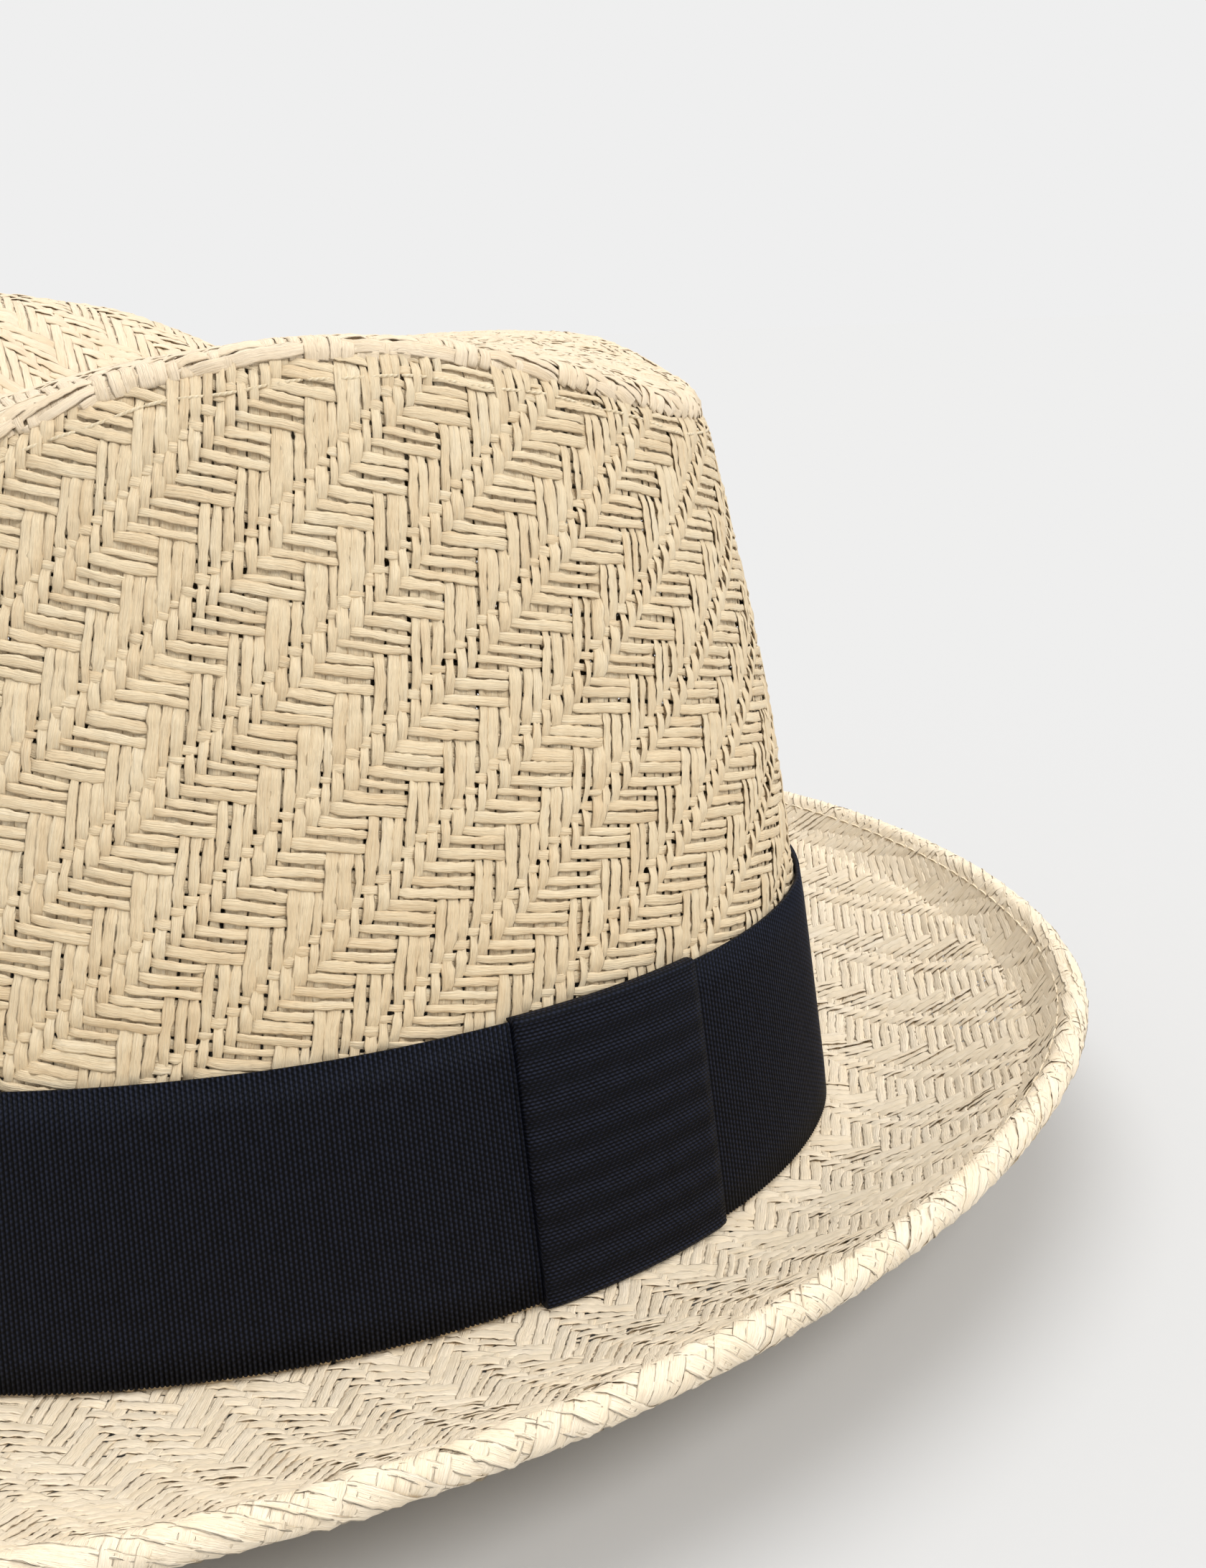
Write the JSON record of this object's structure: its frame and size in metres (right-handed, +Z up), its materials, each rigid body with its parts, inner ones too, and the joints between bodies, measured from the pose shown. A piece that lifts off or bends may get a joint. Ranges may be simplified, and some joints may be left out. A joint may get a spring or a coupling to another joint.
{
  "type": "fedora hat",
  "caption": "Woven straw trilby-style fedora with a teardrop crown, a turned-up brim with a rolled edge, and a dark ribbon band with a folded knot.",
  "frame": {"origin": "on the surface the hat rests on, in the middle of the brim's outline", "axes": "+Z up through the crown, +Y towards the back of the hat, +X towards the wearer's left, where the ribbon's knot is"},
  "size_m": [0.2814, 0.2966, 0.132],
  "materials": {
    "straw": "woven natural paper straw, matt with a soft sheen",
    "ribbon": "navy-black grosgrain, fine crosswise ribs",
    "ribbon_thread": "twisted sewing thread",
    "sweatband": "cotton twill band",
    "binding": "woven cotton tape",
    "thread": "twisted sewing thread",
    "label": "blank satin label",
    "wire": "plain spring wire"
  },
  "bodies": {
    "root": {"crown_side": "straw", "crown_tip": "straw", "brim": "straw", "brim_hem": "straw", "hem_wire": "wire", "ribbon_band": "ribbon", "ribbon_knot": "ribbon", "ribbon_tacks": "ribbon_thread", "sweatband": "sweatband", "sweatband_stitching": "thread", "sweatband_back_tab": "binding", "tip_seam_tape": "binding", "tip_topstitching": "thread", "back_seam_stitching": "thread", "hem_stitching": "thread", "size_label": "label"}
  },
  "joints": []
}
